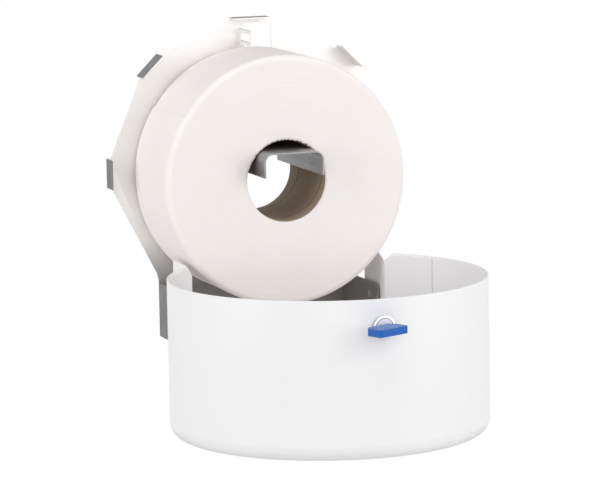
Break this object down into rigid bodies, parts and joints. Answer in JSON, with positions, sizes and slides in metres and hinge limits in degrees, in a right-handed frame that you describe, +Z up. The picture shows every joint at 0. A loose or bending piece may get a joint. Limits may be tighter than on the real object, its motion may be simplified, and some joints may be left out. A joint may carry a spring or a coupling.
{
  "type": "jumbo toilet roll dispenser",
  "caption": "Wall-mounted jumbo toilet roll dispenser: a bright steel backplate, a white drum cover hinged at the bottom, a cam lock with key, and a roll on a bracket.",
  "frame": {"origin": "on the wall plane, at the centre of the four wall screws and on the roll's axis", "axes": "+Z up, -Y out from the wall towards the user, +X to the user's right as they face it"},
  "size_m": [0.28, 0.3821, 0.3485],
  "materials": {
    "white_powder_coat": "smooth semi-gloss white powder coat",
    "satin_steel": "bright satin steel sheet",
    "zinc_steel": "bright zinc plated steel",
    "chrome": "polished chrome plating",
    "white_nylon": "natural white nylon",
    "blue_plastic": "moulded blue plastic, slightly glossy",
    "brown_cardboard": "grey-brown wound cardboard",
    "tissue_paper": "soft off-white tissue, wound in layers"
  },
  "bodies": {
    "plate": {"backplate": "satin_steel", "roll_bracket": "satin_steel", "bracket_rivets": "satin_steel", "hinge_pins": "zinc_steel", "hinge_washers": "white_nylon", "hinge_clips": "zinc_steel", "stop_pins": "zinc_steel"},
    "cover": {"cover_drum": "white_powder_coat", "cover_front": "white_powder_coat", "hinge_arm_left": "white_powder_coat", "hinge_arm_right": "white_powder_coat", "tear_bar": "satin_steel", "lock_body": "chrome", "lock_washer": "zinc_steel", "lock_nut": "zinc_steel"},
    "lock_plug": {"lock_plug": "chrome", "lock_cam": "zinc_steel", "cam_screw": "zinc_steel"},
    "key": {"key_blade": "zinc_steel", "key_head": "blue_plastic"},
    "roll": {"cardboard_core": "brown_cardboard", "paper_roll": "tissue_paper"}
  },
  "joints": [
    {"name": "cover_hinge", "type": "hinge", "parent": "plate", "child": "cover", "pos_m": [0, -0.068, -0.138], "axis": [1, 0, 0], "range_deg": [-90, 0]},
    {"name": "lock_turn", "type": "hinge", "parent": "cover", "child": "lock_plug", "pos_m": [0, -0.345, -0.095], "axis": [0, 1, 0], "range_deg": [0, 90]},
    {"name": "key_pull", "type": "slide", "parent": "lock_plug", "child": "key", "axis": [0, -1, 0], "range_m": [0, 0.02]},
    {"name": "roll_spin", "type": "hinge", "parent": "plate", "child": "roll", "pos_m": [0, -0.0545, 0], "axis": [0, 1, 0], "continuous": true}
  ]
}
